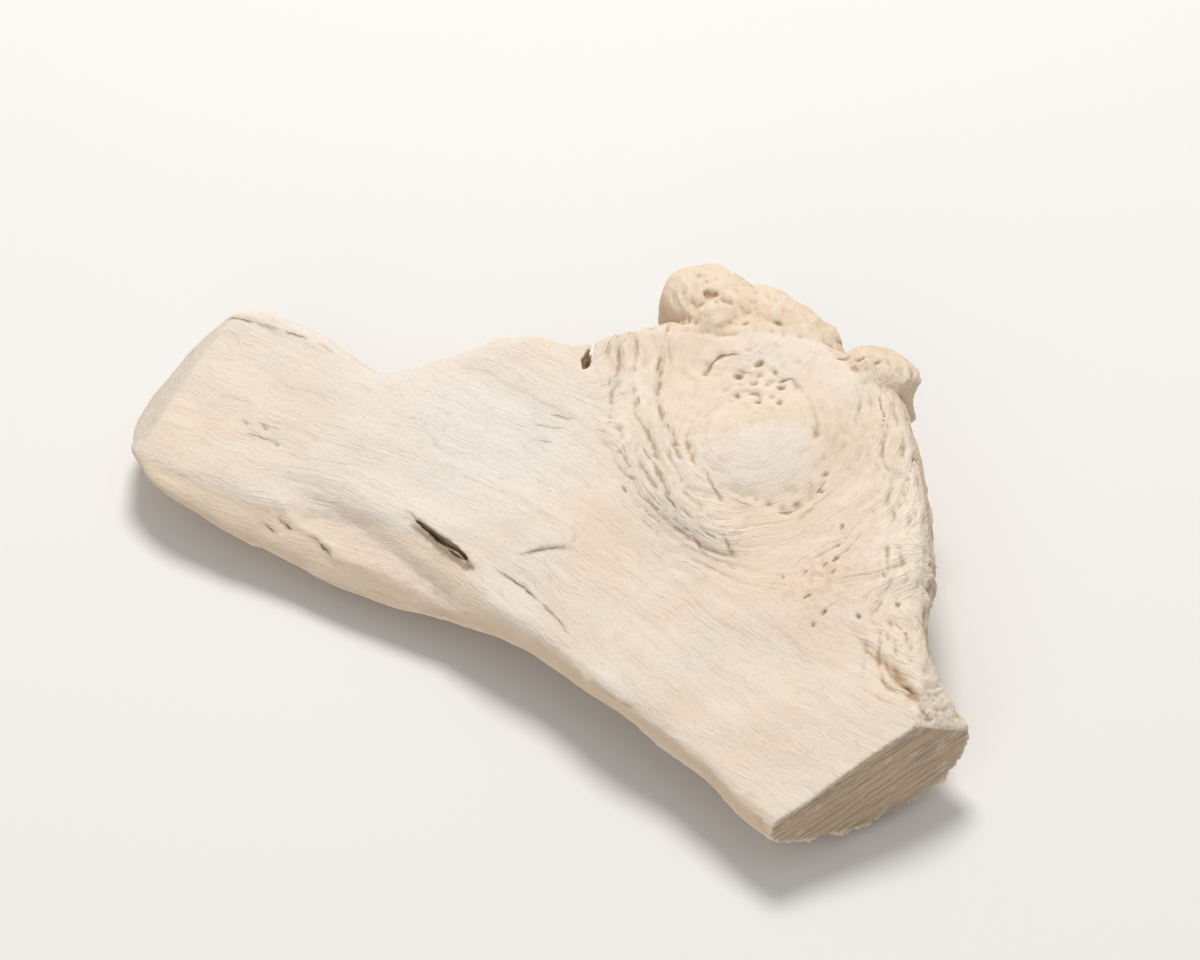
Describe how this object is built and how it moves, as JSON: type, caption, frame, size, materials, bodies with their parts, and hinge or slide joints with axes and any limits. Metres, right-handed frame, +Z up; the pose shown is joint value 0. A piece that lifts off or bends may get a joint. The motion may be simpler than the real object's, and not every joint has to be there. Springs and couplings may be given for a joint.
{
  "type": "piece of driftwood",
  "caption": "Bleached driftwood slab with a narrow arm, a burl with wrapping grain, a split front ridge and a sawn end, lying on its worn underside.",
  "frame": {"origin": "middle of the bounding box at the level of the surface the piece lies on", "axes": "+X along the arm towards the burl and the sawn end, +Y to the back, where the slab is thickest, +Z up"},
  "size_m": [0.1632, 0.0894, 0.0354],
  "materials": {
    "driftwood": "bleached, bare and matt, with fine weathered grain"
  },
  "bodies": {
    "root": {"driftwood": "driftwood"}
  },
  "joints": []
}
